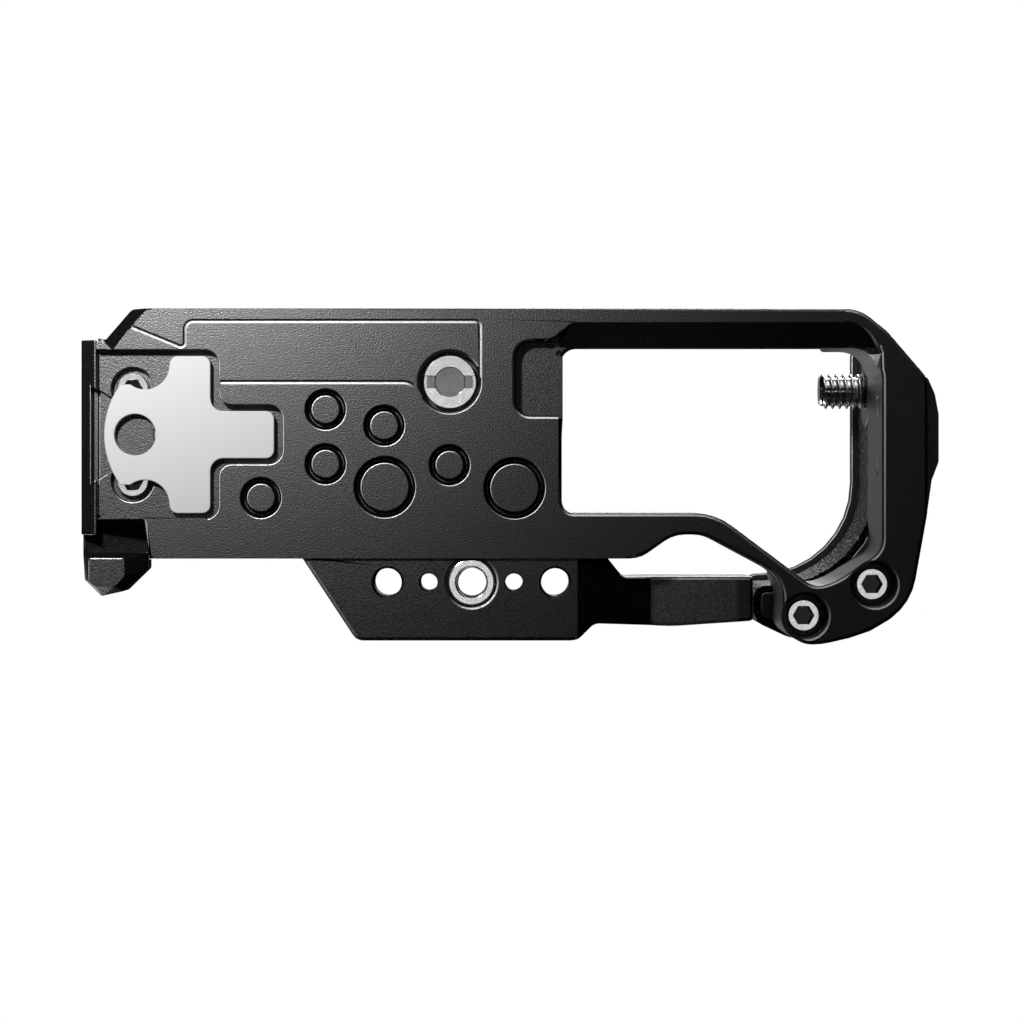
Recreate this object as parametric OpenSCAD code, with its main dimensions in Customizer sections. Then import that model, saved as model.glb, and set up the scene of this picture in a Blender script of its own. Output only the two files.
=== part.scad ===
// Camera cage for a compact video camera. Millimetres, +Z up as it stands on a tripod.
// +X points to the grip side, +Y to the front (lens side), z = 0 is the underside of the deck.
// The origin is the middle of the cage's footprint. An outline is a table of corners
// [x share, y share, corner radius share] of the cage's width, depth and width.

/* [Cage] */
// Width from the left frame to the side knob
cage_w = 149.1; // [140:0.1:158]
// Depth from the deck's back edge to the front of the grip lobe
cage_d = 57.7; // [54:0.1:62]
// Height of the camera body that the cage holds
camera_h = 77.2; // [70:0.1:90]

/* [Deck] */
// Thickness of the deck
deck_t = 10; // [9.4:0.1:12]
// Depth of the ledge round the battery door window
ledge_z = 3.5; // [2.5:0.1:4.5]
// Height of the wall round the grip end
wall_h = 23; // [19:0.5:25]
// How far the front tab is set back from the underside
tab_z = 0.9; // [0.4:0.1:1.5]
// Height of the front bar's underside
bar_z = 11; // [10:0.5:14]
// Steepness of the slope at the deck's back left corner, in degrees
corner_cut_lean = 58; // [45:1:62]
// Depth of the groove round the bare panel
panel_z = 0.4; // [0.2:0.1:0.8]
// Width of the groove round the bare panel
panel_groove_w = 0.75; // [0.5:0.05:1]
// Outer diameter of a small ring groove
ring_d = 6.9; // [6:0.1:7.6]
// Outer diameter of a large ring groove
big_ring_d = 10.4; // [9:0.1:11]
// Width of a ring groove
ring_w = 1; // [0.6:0.1:1.4]
// Depth of a ring groove
ring_z = 2; // [0.8:0.1:2.4]
// How far the middle of a ring lies below the deck
ring_drop = 0.5; // [0.2:0.1:0.7]

/* [Flat key] */
// Length over the two blades
key_len = 26.9; // [24:0.1:28]
// Distance from the centre to the end of the third blade
key_reach = 14.4; // [12:0.1:16]
// Width of the two blades
key_blade_w = 7; // [6:0.1:8]
// Width of the third blade
key_tip_w = 8.1; // [7:0.1:9]
// Radius of the round head
key_head_r = 14.7; // [13.5:0.1:15.2]
// Diameter of the hole in the head
key_hole_d = 7.1; // [6:0.1:8]
// Thickness of the key
key_t = 2.4; // [1.8:0.1:2.6]
// Depth of the recess that holds the key
recess_z = 3; // [2.8:0.1:3.4]
// Gap round the key, front and back
key_gap = 1; // [0.6:0.1:1.4]
// Gap round the key, left and right
key_side_gap = 1.5; // [1:0.1:1.8]
// Diameter of a key magnet
magnet_d = 6; // [5:0.1:6.5]
// Thickness of a key magnet
magnet_t = 1.6; // [1:0.1:2]

/* [Threads and screws] */
// Outer diameter of a quarter inch thread
quarter_d = 6.35; // [6.3:0.01:6.4]
// Bore of a quarter inch thread before it is tapped
quarter_tap_d = 5.1; // [5:0.05:5.3]
// Rise of a quarter inch thread in one turn
quarter_pitch = 1.27; // [1.2:0.01:1.3]
// Running clearance round a screw's shank
shank_gap = 0.08; // [0.04:0.01:0.1]
// Clearance of a hole over the thread or disc that it holds
seat_gap = 0.04; // [0.02:0.01:0.06]
// Diameter of an M3 shank
m3_d = 3; // [2.9:0.05:3.2]
// Diameter of an M3 head
m3_head_d = 5.5; // [5.2:0.1:5.8]
// Height of a low M3 head
m3_head_h = 2; // [1.6:0.1:2.2]
// Width across the flats of an M3 socket
m3_hex = 2.9; // [2:0.1:3]
// Depth of an M3 socket
m3_hex_z = 1.5; // [1:0.1:1.6]
// Diameter of the hole round an M3 head
m3_sink_d = 7.3; // [6.6:0.1:7.6]
// Diameter of a locating pin hole
pin_hole_d = 3; // [2.5:0.1:3.5]

/* [Camera screw] */
// Diameter of the head
cam_head_d = 9.1; // [8.6:0.1:9.4]
// Height of the head
cam_head_h = 3.6; // [3:0.1:4]
// Diameter of the hole round the head
cam_sink_d = 10.2; // [9.8:0.1:10.6]
// How far the head is set back from the underside
cam_head_z = 0.6; // [0.3:0.1:1]
// Width of the coin slot
coin_slot_w = 2; // [1.4:0.1:2.4]
// How far the thread stands above the deck
cam_thread_h = 4.5; // [4:0.1:5.5]
// Turns from tight to loose
cam_turns = 3; // [2:1:3]

/* [Grip] */
// Height of the top of the grip
grip_top = 53; // [48:0.5:60]
// Thickness of the cap on top of the grip
cap_t = 2.2; // [1.8:0.1:3]
// Thickness of the leather grained sleeve
sleeve_t = 1.3; // [1:0.1:1.6]
// How far the cap stands proud of the sleeve inside the grip
cap_lip = 1.3; // [0.8:0.1:1.5]
// Height of the side screw's axis
side_z = 34; // [33:0.5:37]
// Distance of the side screw behind the middle of the cage
side_back = 15.5; // [13:0.5:16]
// Diameter of the side knob
knob_d = 10; // [9.4:0.1:11]
// Length of the side knob without its hub
knob_l = 3.95; // [3.5:0.05:4.5]
// Diameter of the hub that carries the knob's coin slot
hub_d = 5.4; // [5:0.1:5.8]
// How deep the knob and its washer are sunk into the boss
knob_sink = 2.6; // [2:0.1:3]
// Thickness of the friction washer
washer_t = 0.6; // [0.4:0.1:0.8]
// How far the side thread stands out of the boss
side_thread_l = 8.3; // [7:0.1:9]
// Diameter of the side screw's neck
side_neck_d = 6.25; // [6.1:0.01:6.3]

/* [Left frame and top] */
// Thickness of the left frame above the deck
frame_t = 6.4; // [5.5:0.1:7]
// Height of the port opening in the left frame
port_h = 50; // [40:1:52]
// Depth of the port opening
port_d = 21; // [16:0.5:22]
// Thickness of the tongue that the left screws pull on
tongue_t = 3.4; // [3:0.1:3.6]
// Thickness of the top arm
top_t = 7; // [6:0.1:9]
// Thickness of the rubber pads
pad_t = 0.8; // [0.5:0.1:1]
// Width of the accessory shoe's channel
shoe_w = 18.7; // [18.5:0.1:19]
// Opening between the accessory shoe's lips
shoe_gap = 12.8; // [12.5:0.1:13.2]
// Height of the accessory shoe's channel
shoe_h = 2.1; // [2:0.05:2.2]
// Wall of the accessory shoe
shoe_wall = 1.7; // [1.4:0.1:2.2]

/* [Hidden] */
$fn = 64;
over = 1; // how far a cut runs past a face
turn_step = 12; // degrees of a rounded corner between two points
half_w = cage_w / 2;

// Outlines, as shares of the cage's width, depth and width
deck_shares = [
    [-0.443, -0.5, 0.01], [-0.473, -0.411, 0], [-0.481, -0.411, 0], [-0.481, 0.13, 0.003],
    [-0.427, 0.13, 0.002], [-0.421, 0.242, 0.002], [0.1426, 0.242, 0.035], [0.1816, 0.171, 0.042],
    [0.215, 0.171, 0.05], [0.3066, 0.298, 0.041], [0.3066, 0.453, 0.022], [0.3295, 0.497, 0.03],
    [0.3513, 0.497, 0.08], [0.408, 0.463, 0.122], [0.4542, 0.375, 0.071], [0.4728, 0.105, 0.05],
    [0.4728, -0.2933, 0.022], [0.4262, -0.434, 0.05], [0.3947, -0.5, 0.045]];
window_shares = [
    [0.067, -0.459, 0.017], [0.3975, -0.459, 0.034], [0.4205, -0.371, 0.055], [0.4205, 0.219, 0.025],
    [0.3695, 0.305, 0.07], [0.343, 0.329, 0.025], [0.229, 0.106, 0.069], [0.053, 0.106, 0.014],
    [0.053, -0.183, 0.003], [0, -0.183, 0.017], [0, -0.4, 0.017], [0.037, -0.4, 0.017]];
ledge_shares = [
    [0.053, -0.385, 0.017], [0.4045, -0.385, 0.03], [0.4205, -0.311, 0.03], [0.4205, 0.219, 0.025],
    [0.3695, 0.305, 0.07], [0.343, 0.329, 0.025], [0.229, 0.106, 0.069], [0.053, 0.106, 0.014]];
tab_shares = [
    [-0.265, 0.15, 0], [-0.265, 0.2405, 0], [-0.2455, 0.2405, 0.004], [-0.183, 0.486, 0.014],
    [0.071, 0.486, 0.02], [0.091, 0.437, 0.014], [0.18, 0.452, 0.2], [0.278, 0.435, 0],
    [0.278, 0.3, 0], [0.1245, 0.3, 0.016], [0.1055, 0.239, 0.009], [0.1055, 0.15, 0]];
panel_shares = [
    [-0.0385, -0.469, 0.009], [-0.382, -0.469, 0.012], [-0.382, -0.391, 0.002], [-0.4515, -0.464, 0.003],
    [-0.4715, -0.4065, 0.003], [-0.4895, -0.377, 0], [-0.3395, -0.357, 0], [-0.3395, -0.275, 0.001],
    [-0.122, -0.275, 0.016], [-0.1, -0.21, 0.016], [-0.0385, -0.27, 0.004]];
wall_shares = [
    [0.363, -0.6, 0], [0.6, -0.6, 0], [0.6, 0.6, 0], [0.3, 0.6, 0], [0.3, 0.268, 0], [0.363, 0.268, 0]];
grip_shares = [
    [0.472, -0.37, 0.01], [0.472, 0.099, 0.06], [0.449, 0.342, 0.07], [0.39, 0.472, 0.09],
    [0.33, 0.5, 0.03], [0.284, 0.444, 0.02], [0.284, 0.312, 0.02], [0.4205, 0.312, 0.113],
    [0.4205, -0.416, 0.012], [0.4475, -0.416, 0.01]];
boss_shares = [
    [0.465, -0.31, 0], [0.4755, -0.295, 0.006], [0.4835, -0.248, 0.02], [0.488, -0.188, 0.02],
    [0.488, -0.045, 0.012], [0.48, 0.009, 0.012], [0.475, 0.1, 0.002], [0.465, 0.105, 0]];
lip_shares = [
    [-0.5, 0.172, 0], [-0.498, 0.307, 0.004], [-0.479, 0.356, 0.004], [-0.4535, 0.3415, 0.004],
    [-0.427, 0.275, 0.004], [-0.427, 0.248, 0]];
foot_shares = [
    [-0.4915, 0.24, 0.003], [-0.4915, 0.309, 0.003], [-0.4835, 0.3265, 0.003], [-0.4605, 0.3265, 0.003],
    [-0.45, 0.294, 0.003], [-0.45, 0.24, 0.003]];
top_shares = [
    [-0.5, -0.396, 0.012], [-0.455, -0.486, 0.02], [0.02, -0.486, 0.03], [0.055, -0.357, 0.03],
    [0.055, 0.099, 0.03], [0.02, 0.248, 0.03], [-0.47, 0.248, 0.012], [-0.5, 0.178, 0.012]];
// The line on the deck where its back left corner starts to slope down
corner_cut_shares = [[-0.4215, -0.5], [-0.4618, -0.376]];
// Places on the deck, as shares of the cage's width and depth
ring_shares = [[-0.2923, 0.0615], [-0.2182, -0.2002], [-0.2182, -0.0387], [-0.1509, -0.1527], [-0.0759, -0.0357]];
big_ring_shares = [[-0.1503, 0.0297], [-0.0014, 0.0327]];
grip_screw_shares = [[0.3329, 0.4133], [0.412, 0.32]];
cam_screw_share = [-0.0756, -0.2814];
key_share = [-0.3739, -0.1256];
insert_share = [-0.0508, 0.3126];
side_plate_share = -0.1249;
frame_back_share = -0.4064;

// Derived places
function at(share) = [share[0] * cage_w, share[1] * cage_d];
function corners(shares) = [for (s = shares) [s[0] * cage_w, s[1] * cage_d, s[2] * cage_w]];
key_at = at(key_share);
cam_at = at(cam_screw_share);
insert_at = at(insert_share);
deck_left = deck_shares[2][0] * cage_w;
frame_back = frame_back_share * cage_d;
frame_front = lip_shares[0][1] * cage_d;
frame_top = deck_t + camera_h + pad_t;
frame_in = -half_w + frame_t;
right_out = grip_shares[0][0] * cage_w;
right_in = grip_shares[8][0] * cage_w;
wall_in = window_shares[2][0] * cage_w;
wall_out = deck_shares[16][0] * cage_w;

// The left screws stand under the key's two scallops
left_screw_dx = 10.1;
left_screw_dy = 7.9;
left_screws = [for (s = [-1, 1]) key_at + [-left_screw_dx, s * left_screw_dy]];
left_head_sink = 0.2;
left_head_z = recess_z + left_head_sink;
tongue_z = deck_t - tongue_t;
tongue_w = 2 * left_screw_dy + m3_sink_d + tongue_t;
tongue_rim = 0.7;
tongue_end = left_screws[0][0] + m3_sink_d / 2 + tongue_rim;
tongue_mid = left_screws[0][1] / 2 + left_screws[1][1] / 2;
foot_z = 1.4;
skirt_z = 0.6;
foot_rise = 3.2;
foot_neck = 0.8;
pocket_z = 9;
pocket_in = 2.8;
skirt_rise = 1.8;
skirt_land = 0.4;
lip_h = 3;

// Key
key_seat = 0.07;
key_z = recess_z - key_t - key_seat;
recess_back = key_at[1] - key_len / 2 - key_gap;
key_hole_dx = 9.4;
key_corner_r = 1.4;
key_inner_r = 2.2;
scallop_r = 4.15;
scallop_at = [7.7, 11.9];
nose_at = [10.2, 8.6];
magnet_dx = [-3.4, 7.7];
notch_w = 16.5;
notch_mouth_w = 12;
notch_z = recess_z + magnet_t / 2;

// Camera screw
cam_floor_z = cam_head_z + cam_head_h;
cam_floor_t = 1.2;
cam_travel = cam_turns * quarter_pitch;
ring_clip_t = 0.6;
ring_clip_rim = 0.96;
ring_clip_d = quarter_d + 2 * ring_clip_rim;
clip_room_d = ring_clip_d + 2 * ring_clip_t;
clip_z = cam_floor_z + cam_floor_t + cam_travel + shank_gap;
clip_groove = 0.5;
panel_rim = 0.2;
coin_slot_z = 1.5;
hex_recess_d = 5;
hex_recess_z = 2.4;

// Grip, its boss and its screws
boss_rim = 1.6;
boss_set_in = 0.7;
boss_proud = 0.3;
boss_r = knob_d / 2 + boss_rim;
boss_in = right_in + boss_set_in;
boss_out = right_out + boss_proud;
side_y = -side_back;
knob_x = boss_out - knob_sink + washer_t;
knob_end = knob_x + knob_l;
core_inset = 1.2;
cap_screw_d = 2;
cap_screw_head_d = 3.8;
cap_screw_head_h = 1;
cap_screw_l = 8.8;
cap_screws = [(at(grip_screw_shares[0]) + at(grip_screw_shares[1])) / 2,
              [(right_in + right_out) / 2, side_y]];
grip_screw_l = 26;
grip_head_z = 4.4;
side_relief_l = 1;
side_relief_d = 5;
knob_ribs = 24;
corner_cut_w = 5;
rib_r = 0.4;
side_plate_screw_d = 2;
side_plate_head_d = 3.4;
side_plate_head_t = 0.8;
side_plate_screw_z = 7.6;
side_plate_screw_dy = 4.78;
side_plate_z0 = 3;
side_plate_z1 = 20;
side_plate_thread_z = 14.2;
side_plate_bite = 5;
side_plate_screw_bite = 1;
side_plate_y = side_plate_share * cage_d;

// Tab
insert_d = 8.1;
pin_dx = 7.3;
strap_hole_dx = 14.35;
strap_hole_d = 4.8;
tab_hole_sink = 0.4;
ramp_l = 13;
bar_top_step = 2;

// Top
top_z = frame_top;
top_screw_dy = 9;
function top_screw_at(s) = [-half_w + frame_t / 2, tongue_mid + s * top_screw_dy];
top_thread_shares = [[-0.19, -0.3], [-0.19, 0.05], [-0.01, -0.12]];
shoe_l = 18.6;
shoe_base_t = 2;
shoe_share = [-0.36, 0.02];
shoe_at = at(shoe_share);
shoe_out_w = shoe_w + 2 * shoe_wall;
shoe_screw_dy = 5;
shoe_screws = [for (s = [-1, 1]) shoe_at + [0, s * shoe_screw_dy]];
shoe_z = top_z + top_t;
shoe_floor = shoe_z + shoe_base_t;
shoe_lip_t = 1.5;
slot_w = 5;
slot_l = 20;
slot_share = [-0.1, -0.125];
slot_at = at(slot_share);
slot_run = slot_l / 2 - slot_w / 2;
deck_pad_l = 62;
deck_pad_w = 22;
top_pad_l = 52;
top_pad_w = 24;
pad_r = 3;
pad_margin = 1.2;
pad_hole_d = quarter_d + 2 * pad_margin;
frame_thread_z = 16;
port_z = 24;
port_r = 3;

// Outline helpers: a corner list becomes a polygon with tangent arcs
function flat(p) = [p[0], p[1]];
function unit(v) = v / norm(v);
function cross2(a, b) = a[0] * b[1] - a[1] * b[0];
function near_turn(a) = a > 180 ? a - 360 : a < -180 ? a + 360 : a;
function round_corner(a, b, c, r) =
    r <= 0 ? [b] :
    let (
        u = unit(a - b), v = unit(c - b), open = acos(u * v),
        mid = b + unit(u + v) * (r / sin(open / 2)),
        reach = r / tan(open / 2), p = b + u * reach - mid, q = b + v * reach - mid,
        start = atan2(p[1], p[0]), sweep = near_turn(atan2(q[1], q[0]) - start),
        n = max(2, ceil(abs(sweep) / turn_step)))
    [for (i = [0:n]) mid + r * [cos(start + sweep * i / n), sin(start + sweep * i / n)]];
function corner_at(p, i) = flat(p[(i + len(p)) % len(p)]);
function outline(p) =
    [for (i = [0:len(p) - 1])
        each round_corner(corner_at(p, i - 1), corner_at(p, i), corner_at(p, i + 1), p[i][2])];

// A corner list moved inwards, edge by edge; edge i runs from corner i to the next one
function side_normal(a, b, s) = s * [-(b - a)[1], (b - a)[0]] / norm(b - a);
function meet(n, m, t, w) = [t * m[1] - w * n[1], w * n[0] - t * m[0]] / cross2(n, m);
function area2(p, i = 0) = i == len(p) ? 0 : cross2(corner_at(p, i), corner_at(p, i + 1)) + area2(p, i + 1);
function winding(p) = area2(p) > 0 ? 1 : -1;
function inset(p, t) =
    let (s = winding(p))
    [for (i = [0:len(p) - 1])
        let (
            a = corner_at(p, i - 1), b = corner_at(p, i), c = corner_at(p, i + 1),
            before = t[(i + len(p) - 1) % len(p)], after = t[i],
            n = side_normal(a, b, s), m = side_normal(b, c, s),
            bend = s * cross2(b - a, c - b) > 0 ? 1 : -1,
            q = b + meet(n, m, before, after))
        [q[0], q[1], max(p[i][2] - bend * (before + after) / 2, 0)]];

// Solid helpers
module slab(p, z0, z1) { translate([0, 0, z0]) linear_extrude(z1 - z0) polygon(outline(p)); }
module post(at, d, z0, z1) { translate([at[0], at[1], z0]) cylinder(h = z1 - z0, d = d); }
module side_post(y, z, d, x0, x1) { translate([x0, y, z]) rotate([0, 90, 0]) cylinder(h = x1 - x0, d = d); }
module block(lo, hi) { translate(lo) cube(hi - lo); }

// One socket screw that stands on its head's face at z = 0
module socket_screw(length, head_h) {
    difference() {
        union() {
            cylinder(h = head_h, d = m3_head_d);
            cylinder(h = head_h + length, d = m3_d);
        }
        translate([0, 0, -over]) cylinder(h = over + m3_hex_z, d = m3_hex / cos(30), $fn = 6);
    }
}

// A small flush screw with a hexagon socket, its head's face at z = top
module small_screw(p, top, length) {
    difference() {
        union() {
            post(p, cap_screw_head_d, top - cap_screw_head_h, top);
            post(p, cap_screw_d, top - length, top);
        }
        translate([p[0], p[1], top - cap_screw_head_h / 2]) cylinder(h = cap_t, d = cap_screw_d, $fn = 6);
    }
}

module ring_grooves() {
    for (s = ring_shares) ring_groove(at(s), ring_d);
    for (s = big_ring_shares) ring_groove(at(s), big_ring_d);
}

module ring_groove(p, d) {
    difference() {
        post(p, d, -over, ring_z);
        post(p, d - 2 * ring_w, ring_drop, ring_z + over);
    }
}

// Recess for the key, open towards the left frame
module key_recess() {
    arm = key_blade_w / 2 + key_side_gap;
    end = key_at[1] - recess_back;
    tip = key_tip_w / 2 + key_gap;
    reach = key_reach + key_side_gap;
    corner = key_corner_r + key_gap;
    inner = key_inner_r;
    left = deck_left - key_at[0] - over;
    p = [[left, -end, 0], [arm, -end, corner], [arm, -tip, inner], [reach, -tip, corner],
         [reach, tip, corner], [arm, tip, inner], [arm, end, corner], [left, end, 0]];
    translate([key_at[0], key_at[1], 0]) slab(p, -over, recess_z);
    finger_notch();
}

// A notch for a finger beside the key's round head; it runs on into the left frame's skirt
module finger_notch() {
    notch = [[deck_left - over, key_at[1] - notch_w / 2, 0], [deck_left - over, key_at[1] + notch_w / 2, 0],
             [key_at[0] - key_head_r + key_side_gap, key_at[1] + notch_mouth_w / 2, 0],
             [key_at[0] - key_head_r + key_side_gap, key_at[1] - notch_mouth_w / 2, 0]];
    slab(notch, -over, notch_z);
}

module base_plate() {
    color("#1c1c1e")
    difference() {
        union() {
            slab(corners(deck_shares), 0, deck_t);
            tab_and_bar();
            intersection() {
                slab(corners(deck_shares), 0, wall_h);
                slab(corners(wall_shares), 0, wall_h);
            }
        }
        slab(corners(ledge_shares), -over, wall_h + over);
        door_recess();
        corner_cut();
        panel_groove();
        ring_grooves();
        key_recess();
        for (dx = magnet_dx) post(key_at + [dx, 0], magnet_d + seat_gap, 0, recess_z + magnet_t);
        for (p = left_screws) {
            post(p, m3_sink_d, -over, left_head_z + m3_head_h);
            post(p, m3_d + 2 * shank_gap, 0, deck_t);
        }
        tongue(deck_left - over, deck_t + over);
        post(cam_at, cam_sink_d, -over, cam_floor_z);
        post(cam_at, quarter_d + 2 * shank_gap, 0, deck_t + over);
        post(cam_at, clip_room_d, cam_floor_z + cam_floor_t, deck_t + over);
        tab_holes();
        for (s = grip_screw_shares) {
            post(at(s), m3_sink_d, -over, grip_head_z + m3_head_h);
            post(at(s), m3_d + 2 * shank_gap, 0, wall_h + over);
        }
        side_plate_cuts();
    }
}

// The steep slope at the deck's back left corner; it stops before the key's recess
module corner_cut() {
    from = at(corner_cut_shares[0]);
    to = at(corner_cut_shares[1]);
    run = to - from;
    intersection() {
        translate([from[0], from[1], 0]) rotate([90, 0, 90 + atan2(run[1], run[0])])
            linear_extrude(2 * norm(run), center = true)
                polygon([[0, 0], [corner_cut_w, corner_cut_w * tan(corner_cut_lean)],
                         [corner_cut_w, -over], [0, -over]]);
        block([-half_w, -cage_d, -2 * over], [from[0] + over, recess_back, deck_t]);
    }
}

// A groove marks off the bare panel, whose lower right corner runs round the camera screw
module panel_groove() {
    p = corners(panel_shares);
    w = panel_groove_w;
    d = cam_sink_d + panel_groove_w + panel_rim;
    difference() {
        union() {
            slab(p, -over, panel_z);
            post(cam_at, d, -over, panel_z);
        }
        slab(inset(p, [w, w, w, -over, -over, -over, -over, w, w, w, w]), -2 * over, panel_z + over);
    }
}

// The window's recess on the left and its sloped back edge
module door_recess() {
    p = corners(window_shares);
    split = p[0][0] - p[0][2];
    intersection() {
        slab(p, -over, ledge_z);
        block([-half_w, -cage_d, -over], [split, cage_d, ledge_z]);
    }
    intersection() {
        slab(p, -over, ledge_z);
        back = p[0][1];
        ledge = ledge_shares[0][1] * cage_d;
        translate([split, 0, 0]) rotate([90, 0, 90])
            linear_extrude(half_w)
                polygon([[back - over, -over], [ledge + over, -over], [ledge + over, ledge_z],
                         [ledge, ledge_z], [back, 0], [back - over, 0]]);
    }
}

// The tab that carries the tripod insert, and the bar that runs from it to the grip
module tab_and_bar() {
    p = corners(tab_shares);
    tab_x = p[4][0];
    bar_x = tab_x + ramp_l;
    bar_end = p[7][0];
    intersection() {
        slab(p, tab_z, wall_h);
        translate([0, cage_d, 0]) rotate([90, 0, 0]) linear_extrude(2 * cage_d)
            polygon([[p[0][0] - over, tab_z], [tab_x, tab_z], [bar_x, bar_z], [bar_end, bar_z],
                     [bar_end, wall_h], [bar_x - bar_top_step, wall_h], [tab_x, deck_t],
                     [p[0][0] - over, deck_t]]);
    }
}

module tab_holes() {
    post(insert_at, insert_d + seat_gap, 0, deck_t + over);
    for (s = [-1, 1]) {
        sunk_hole(insert_at + [s * pin_dx, 0], pin_hole_d, tab_hole_sink / 2);
        sunk_hole(insert_at + [s * strap_hole_dx, 0], strap_hole_d, tab_hole_sink);
    }
}

// A hole through the tab with a countersunk rim on the underside
module sunk_hole(p, d, sink) {
    post(p, d, 0, deck_t + over);
    translate([p[0], p[1], tab_z]) cylinder(h = sink, d1 = d + 2 * sink, d2 = d);
    post(p, d + 2 * sink, 0, tab_z);
}

// The tongue reaches from a given side to its end; the deck is cut to take it
module tongue(from_x, top) {
    block([from_x, tongue_mid - tongue_w / 2, tongue_z], [tongue_end, tongue_mid + tongue_w / 2, top]);
}

// The side plate's two screws, drawn from the inner face of the wall; gap widens them into holes
module side_screws(gap, from_x, to_x) {
    for (s = [-1, 1]) {
        y = side_plate_y + s * side_plate_screw_dy;
        side_post(y, side_plate_screw_z, side_plate_screw_d + gap, from_x, to_x);
        side_post(y, side_plate_screw_z, side_plate_head_d + gap, from_x, wall_in + side_plate_head_t);
    }
}

module side_plate_cuts() {
    side_screws(shank_gap, wall_in - over, wall_out + over);
    side_post(side_plate_y, side_plate_thread_z, quarter_tap_d,
              wall_out - side_plate_bite, wall_out + over);
}

module left_upright() {
    color("#17171a")
    difference() {
        union() {
            // side wall, its skirt beside the deck and the tongue above it
            block([-half_w, frame_back, deck_t], [frame_in, frame_front + over, frame_top]);
            skirt();
            tongue(-half_w, deck_t);
            front_lip();
        }
        finger_notch();
        // ports
        translate([-half_w - over, 0, port_z]) rotate([90, 0, 90])
            linear_extrude(frame_t + 2 * over)
                polygon(outline(port_corners()));
        for (p = left_screws) post(p, m3_d + seat_gap, tongue_z - over, deck_t);
        for (s = [-1, 1])
            post(top_screw_at(s), m3_d + seat_gap, frame_top - top_t - over, frame_top + over);
        for (z = [frame_thread_z, frame_top - (frame_thread_z - deck_t)])
            side_post(tongue_mid, z, quarter_tap_d, -half_w - over, frame_in + over);
    }
}

function port_corners() =
    let (lo = tongue_mid - port_d / 2, hi = tongue_mid + port_d / 2)
    [[lo, 0, port_r], [hi, 0, port_r], [hi, port_h, port_r], [lo, port_h, port_r]];

// The skirt's underside slopes up steeply from the deck to the outer face
module skirt() {
    translate([0, frame_front, 0]) rotate([90, 0, 0]) linear_extrude(frame_front - frame_back)
        polygon([[-half_w, skirt_z + skirt_rise], [deck_left - skirt_land, skirt_z],
                 [deck_left, skirt_z], [deck_left, deck_t], [-half_w, deck_t]]);
}

// A low lip in front of the camera that ends in a tapered foot, behind a pocket beside the deck
module front_lip() {
    p = corners(lip_shares);
    slab(concat(p, [[frame_in, p[5][1], 0], [frame_in, p[0][1], 0]]), deck_t, deck_t + lip_h);
    low_y = deck_shares[4][1] * cage_d;
    low_x = deck_shares[4][0] * cage_w - shank_gap;
    foot = corners(foot_shares);
    base_z = foot_z + foot_rise;
    neck_y = foot[0][1] - foot_neck;
    base = [[-half_w, neck_y, 0], p[1], p[2], p[3], p[4], [low_x, p[5][1], 0], [low_x, neck_y, 0]];
    slab(base, base_z, deck_t);
    hull() {
        slab(base, base_z, base_z + over / 2);
        slab(foot, foot_z, foot_z + over / 2);
    }
    translate([0, neck_y + over / 10, 0]) rotate([90, 0, 0])
        linear_extrude(neck_y + over / 10 - low_y - shank_gap)
            polygon([[-half_w, base_z], [-half_w + skirt_land, base_z], [-half_w + pocket_in, pocket_z],
                     [low_x, pocket_z], [low_x, deck_t], [-half_w, deck_t]]);
}

module upright_screws() {
    color("#c9ccd0")
    for (p = left_screws)
        translate([p[0], p[1], left_head_z])
            socket_screw(deck_t - left_head_z - m3_head_h - shank_gap, m3_head_h);
}

module grip_corners_at(t_out, t_in, z0, z1) {
    p = corners(grip_shares);
    slab(inset(p, [t_out, t_out, t_out, t_out, t_out, t_out, t_in, t_in, t_out, t_out]), z0, z1);
}

module grip_core() {
    color("#202022")
    difference() {
        union() {
            grip_corners_at(sleeve_t, cap_lip + core_inset, wall_h, grip_top - cap_t);
            side_post(side_y, side_z, 2 * boss_r, boss_in, boss_out);
        }
        side_post(side_y, side_z, knob_d + washer_t, boss_out - knob_sink, boss_out + over);
        side_post(side_y, side_z, quarter_d + seat_gap, boss_in - over, boss_out);
        for (s = grip_screw_shares) post(at(s), m3_d + seat_gap, wall_h - over, wall_h + grip_screw_l);
        for (p = cap_screws) post(p, cap_screw_d + seat_gap, grip_top - cap_screw_l - over, grip_top);
    }
}

module grip_sleeve() {
    color("#26262a")
    difference() {
        grip_corners_at(0, cap_lip, wall_h, grip_top - cap_t);
        grip_corners_at(sleeve_t, cap_lip + core_inset, wall_h - over, grip_top);
        side_post(side_y, side_z, 2 * boss_r, boss_in - over, boss_out + over);
    }
}

module grip_cap() {
    color("#2a2a2c")
    difference() {
        grip_corners_at(0, 0, grip_top - cap_t, grip_top);
        for (p = cap_screws) {
            post(p, cap_screw_d + seat_gap, grip_top - 2 * cap_t, grip_top + over);
            post(p, cap_screw_head_d + 2 * shank_gap, grip_top - cap_screw_head_h, grip_top + over);
        }
    }
}

module grip_cap_screws() {
    color("#9a9da2")
    for (p = cap_screws) small_screw(p, grip_top, cap_screw_l);
}

module grip_screws() {
    color("#c9ccd0")
    for (s = grip_screw_shares)
        translate([at(s)[0], at(s)[1], grip_head_z])
            socket_screw(wall_h + grip_screw_l - grip_head_z - m3_head_h - shank_gap, m3_head_h);
}

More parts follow.
